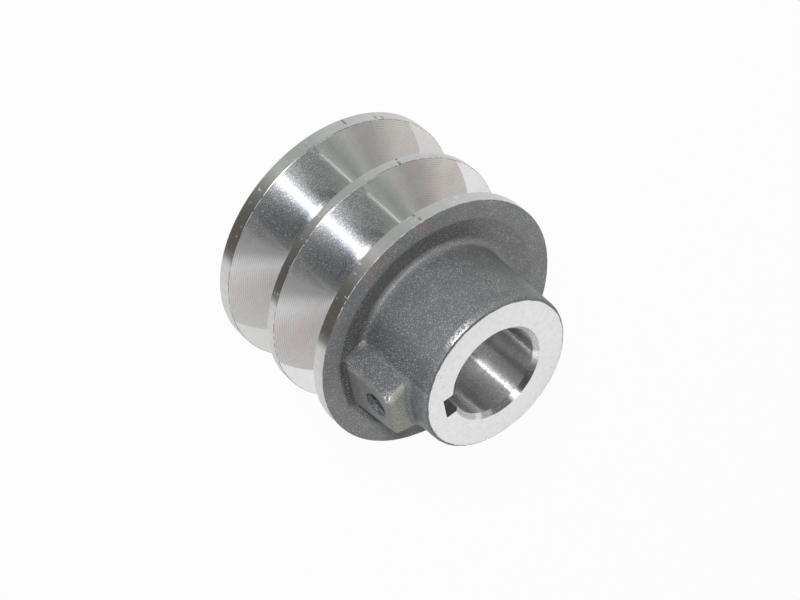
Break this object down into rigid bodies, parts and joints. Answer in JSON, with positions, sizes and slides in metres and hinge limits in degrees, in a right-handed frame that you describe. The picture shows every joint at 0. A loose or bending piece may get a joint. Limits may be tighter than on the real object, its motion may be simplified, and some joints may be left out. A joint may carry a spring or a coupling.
{
  "type": "pulley",
  "caption": "Cast aluminium V-belt pulley with machined belt grooves, a long hub with a keyed bore, and a tapped set-screw boss.",
  "frame": {"origin": "centre of the flat rear face, on the shaft's axis", "axes": "+Z along the shaft towards the hub's face, +X through the keyway and the set-screw boss"},
  "size_m": [0.0544, 0.0544, 0.052],
  "materials": {
    "aluminium": "as-cast dull grey hub, boss and front flange face; turned bright grooves, lands, hub face, rear face and bore"
  },
  "bodies": {
    "root": {"pulley": "aluminium"}
  },
  "joints": []
}
